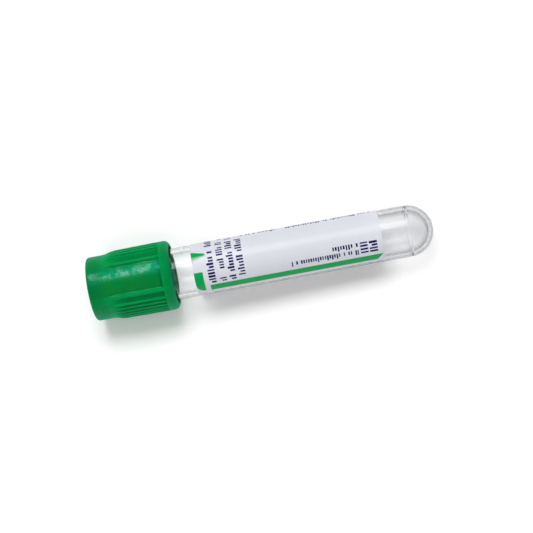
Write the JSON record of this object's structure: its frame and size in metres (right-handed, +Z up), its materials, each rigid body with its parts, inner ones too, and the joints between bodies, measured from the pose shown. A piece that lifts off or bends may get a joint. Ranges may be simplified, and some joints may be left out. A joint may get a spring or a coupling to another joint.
{
  "type": "blood collection tube",
  "caption": "Small clear plastic sample tube with a round bottom, a wrapped label, and a ribbed green push-on closure over a rubber stopper that a needle can pierce",
  "frame": {"origin": "on the surface the tube lies on, under the middle of its outer box", "axes": "+Z up; the tube lies along X with its closure towards -X and its round bottom towards +X; its axis drops 2.156 degrees towards +X, because the lip of the closure is wider than the tube; Y is across it"},
  "size_m": [0.0826, 0.0166, 0.0167],
  "materials": {
    "clear_plastic": "clear, smooth moulded polyester",
    "label_paper": "smooth coated white label with printed green and violet shapes",
    "green_plastic": "satin moulded polypropylene, green",
    "stopper_rubber": "matt dark green rubber"
  },
  "bodies": {
    "tube_body": {"tube": "clear_plastic", "label": "label_paper"},
    "closure": {"shield": "green_plastic", "stopper": "stopper_rubber"}
  },
  "joints": [
    {"name": "closure_pull", "type": "slide", "parent": "tube_body", "child": "closure", "axis": [-0.9993, 0, 0.0376], "range_m": [0, 0.022]}
  ]
}
